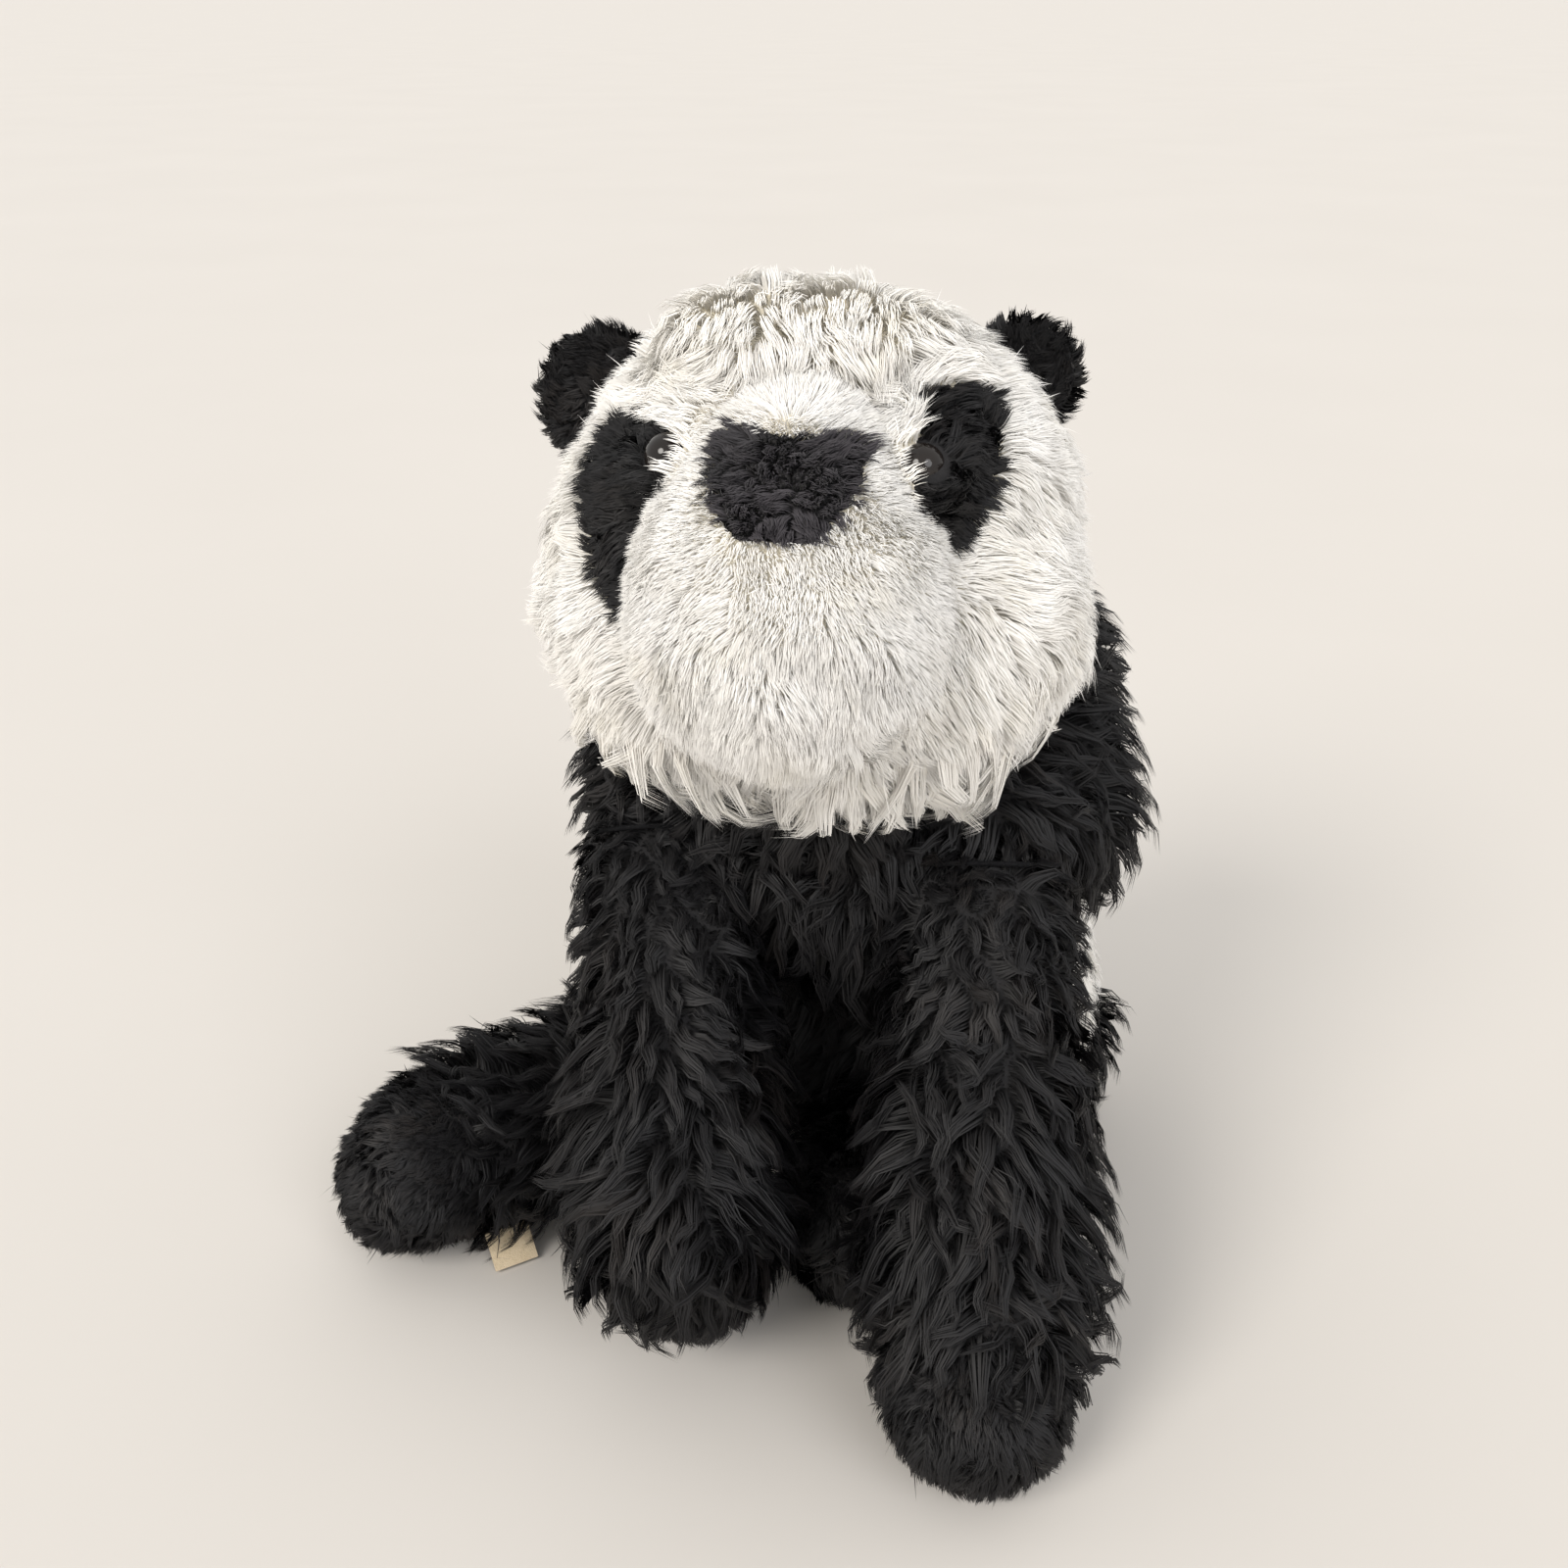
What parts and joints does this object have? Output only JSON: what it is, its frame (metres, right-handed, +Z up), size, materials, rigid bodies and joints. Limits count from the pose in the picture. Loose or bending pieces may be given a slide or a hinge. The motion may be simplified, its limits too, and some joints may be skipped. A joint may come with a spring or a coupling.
{
  "type": "plush panda",
  "caption": "Seated soft toy panda with a large white head, short muzzle, black eye patches, ears, chest and legs, and stuffed limbs that bend at their sewn roots.",
  "frame": {"origin": "on the flat of the seat, on the plane the toy sits on, below the middle between its shoulders and 36 mm in front of the body's upright axis", "axes": "+Z up, -Y the way the body faces, +X to the panda's own left"},
  "size_m": [0.2367, 0.2752, 0.3],
  "materials": {
    "black_long_pile": "shaggy pile, soft sheen",
    "white_long_pile": "long ivory pile, matt",
    "white_short_pile": "short brushed pile, matt",
    "black_short_pile": "short brushed pile, matt",
    "fibre_fill": "loose polyester fibre",
    "eye_black": "polished",
    "washer_white": "natural moulded",
    "bag_cloth": "plain woven cotton",
    "pellet_plastic": "translucent granules",
    "thread_black": "twisted thread",
    "thread_white": "twisted thread",
    "label_satin": "woven satin tape, blank"
  },
  "bodies": {
    "body": {"body_panel_left": "white_long_pile", "body_panel_right": "white_long_pile", "chest_panel": "black_long_pile", "shoulder_panel": "black_long_pile", "seat_panel": "white_short_pile", "body_stuffing": "fibre_fill", "pellet_bag": "bag_cloth", "pellets": "pellet_plastic", "closing_stitches": "thread_white"},
    "tail": {"tail_pelt": "white_long_pile", "tail_stuffing": "fibre_fill"},
    "neck_core": {"neck_stuffing": "fibre_fill"},
    "neck": {"neck_collar": "black_long_pile", "neck_seam": "thread_black"},
    "head": {"head_crown_panel": "white_long_pile", "head_side_panel_left": "white_long_pile", "head_side_panel_right": "white_long_pile", "chin_panel": "white_long_pile", "head_stuffing": "fibre_fill", "muzzle_panel": "white_short_pile", "muzzle_stuffing": "fibre_fill", "nose_patch": "black_short_pile", "eye_patch_left": "black_short_pile", "eye_patch_right": "black_short_pile", "eye_left": "eye_black", "eye_right": "eye_black", "eye_washer_left": "washer_white", "eye_washer_right": "washer_white"},
    "ear_left": {"ear_front_left": "black_short_pile", "ear_back_left": "black_short_pile"},
    "ear_right": {"ear_front_right": "black_short_pile", "ear_back_right": "black_short_pile"},
    "shoulder_left": {"shoulder_seam_left": "thread_black"},
    "foreleg_left": {"foreleg_pelt_left": "black_long_pile", "foreleg_stuffing_left": "fibre_fill"},
    "forepaw_left": {"forepaw_pelt_left": "black_short_pile", "forepaw_stuffing_left": "fibre_fill"},
    "hip_left": {"hip_seam_left": "thread_black"},
    "hind_leg_left": {"hind_leg_pelt_left": "black_long_pile", "hind_foot_left": "black_short_pile", "hind_leg_stuffing_left": "fibre_fill"},
    "shoulder_right": {"shoulder_seam_right": "thread_black"},
    "foreleg_right": {"foreleg_pelt_right": "black_long_pile", "foreleg_stuffing_right": "fibre_fill"},
    "forepaw_right": {"forepaw_pelt_right": "black_short_pile", "forepaw_stuffing_right": "fibre_fill"},
    "hip_right": {"hip_seam_right": "thread_black"},
    "hind_leg_right": {"hind_leg_pelt_right": "black_long_pile", "hind_foot_right": "black_short_pile", "hind_leg_stuffing_right": "fibre_fill", "blank_label": "label_satin"}
  },
  "joints": [
    {"name": "neck_turn", "type": "hinge", "parent": "body", "child": "neck_core", "pos_m": [-0.009, -0.033, 0.168], "axis": [0, 0, 1], "range_deg": [-25, 25], "stiffness_Nm_per_rad": 4},
    {"name": "neck_tilt", "type": "hinge", "parent": "neck_core", "child": "neck", "pos_m": [-0.009, -0.033, 0.168], "axis": [0, 1, 0], "range_deg": [-7, 7], "stiffness_Nm_per_rad": 6},
    {"name": "head_nod", "type": "hinge", "parent": "neck", "child": "head", "pos_m": [-0.009, -0.033, 0.168], "axis": [1, 0, 0], "range_deg": [-8, 8], "stiffness_Nm_per_rad": 6},
    {"name": "ear_fold_left", "type": "hinge", "parent": "head", "child": "ear_left", "pos_m": [0.03891, -0.01647, 0.27627], "axis": [-0.6724, 0.1806, 0.7178], "range_deg": [-15, 16], "stiffness_Nm_per_rad": 0.05},
    {"name": "ear_fold_right", "type": "hinge", "parent": "head", "child": "ear_right", "pos_m": [-0.07205, -0.02142, 0.26499], "axis": [0.496, 0.2328, 0.8365], "range_deg": [-15, 16], "stiffness_Nm_per_rad": 0.05},
    {"name": "tail_lift", "type": "hinge", "parent": "body", "child": "tail", "pos_m": [0.006, 0.098, 0.048], "axis": [1, 0, 0], "range_deg": [-10, 17], "stiffness_Nm_per_rad": 0.1},
    {"name": "shoulder_swing_left", "type": "hinge", "parent": "body", "child": "shoulder_left", "pos_m": [0.036, -0.05, 0.133], "axis": [-1, 0, 0], "range_deg": [-6, 36], "stiffness_Nm_per_rad": 1.5},
    {"name": "shoulder_spread_left", "type": "hinge", "parent": "shoulder_left", "child": "foreleg_left", "pos_m": [0.036, -0.05, 0.133], "axis": [0, -1, 0], "range_deg": [-3, 25], "stiffness_Nm_per_rad": 1.5},
    {"name": "ankle_flex_left", "type": "hinge", "parent": "foreleg_left", "child": "forepaw_left", "pos_m": [0.04444, -0.10591, 0.04334], "axis": [-1, 0, 0], "range_deg": [-20, 12], "stiffness_Nm_per_rad": 0.8},
    {"name": "shoulder_swing_right", "type": "hinge", "parent": "body", "child": "shoulder_right", "pos_m": [-0.054, -0.046, 0.133], "axis": [-1, 0, 0], "range_deg": [-1, 28], "stiffness_Nm_per_rad": 1.5},
    {"name": "shoulder_spread_right", "type": "hinge", "parent": "shoulder_right", "child": "foreleg_right", "pos_m": [-0.054, -0.046, 0.133], "axis": [0, 1, 0], "range_deg": [-1, 19], "stiffness_Nm_per_rad": 1.5},
    {"name": "ankle_flex_right", "type": "hinge", "parent": "foreleg_right", "child": "forepaw_right", "pos_m": [-0.0416, -0.09847, 0.05478], "axis": [-1, 0, 0], "range_deg": [0, 30], "stiffness_Nm_per_rad": 0.8},
    {"name": "hip_splay_left", "type": "hinge", "parent": "body", "child": "hip_left", "pos_m": [0.05, 0.034, 0.038], "axis": [0, 0, 1], "range_deg": [-1, 2], "stiffness_Nm_per_rad": 2},
    {"name": "hip_lift_left", "type": "hinge", "parent": "hip_left", "child": "hind_leg_left", "pos_m": [0.05, 0.034, 0.038], "axis": [-0.9062, 0.4229, 0], "range_deg": [0, 4], "stiffness_Nm_per_rad": 2},
    {"name": "hip_splay_right", "type": "hinge", "parent": "body", "child": "hip_right", "pos_m": [-0.052, 0.002, 0.038], "axis": [0, 0, -1], "range_deg": [-12, 15], "stiffness_Nm_per_rad": 2},
    {"name": "hip_lift_right", "type": "hinge", "parent": "hip_right", "child": "hind_leg_right", "pos_m": [-0.052, 0.002, 0.038], "axis": [-0.6222, 0.7828, 0], "range_deg": [0, 18], "stiffness_Nm_per_rad": 2}
  ]
}
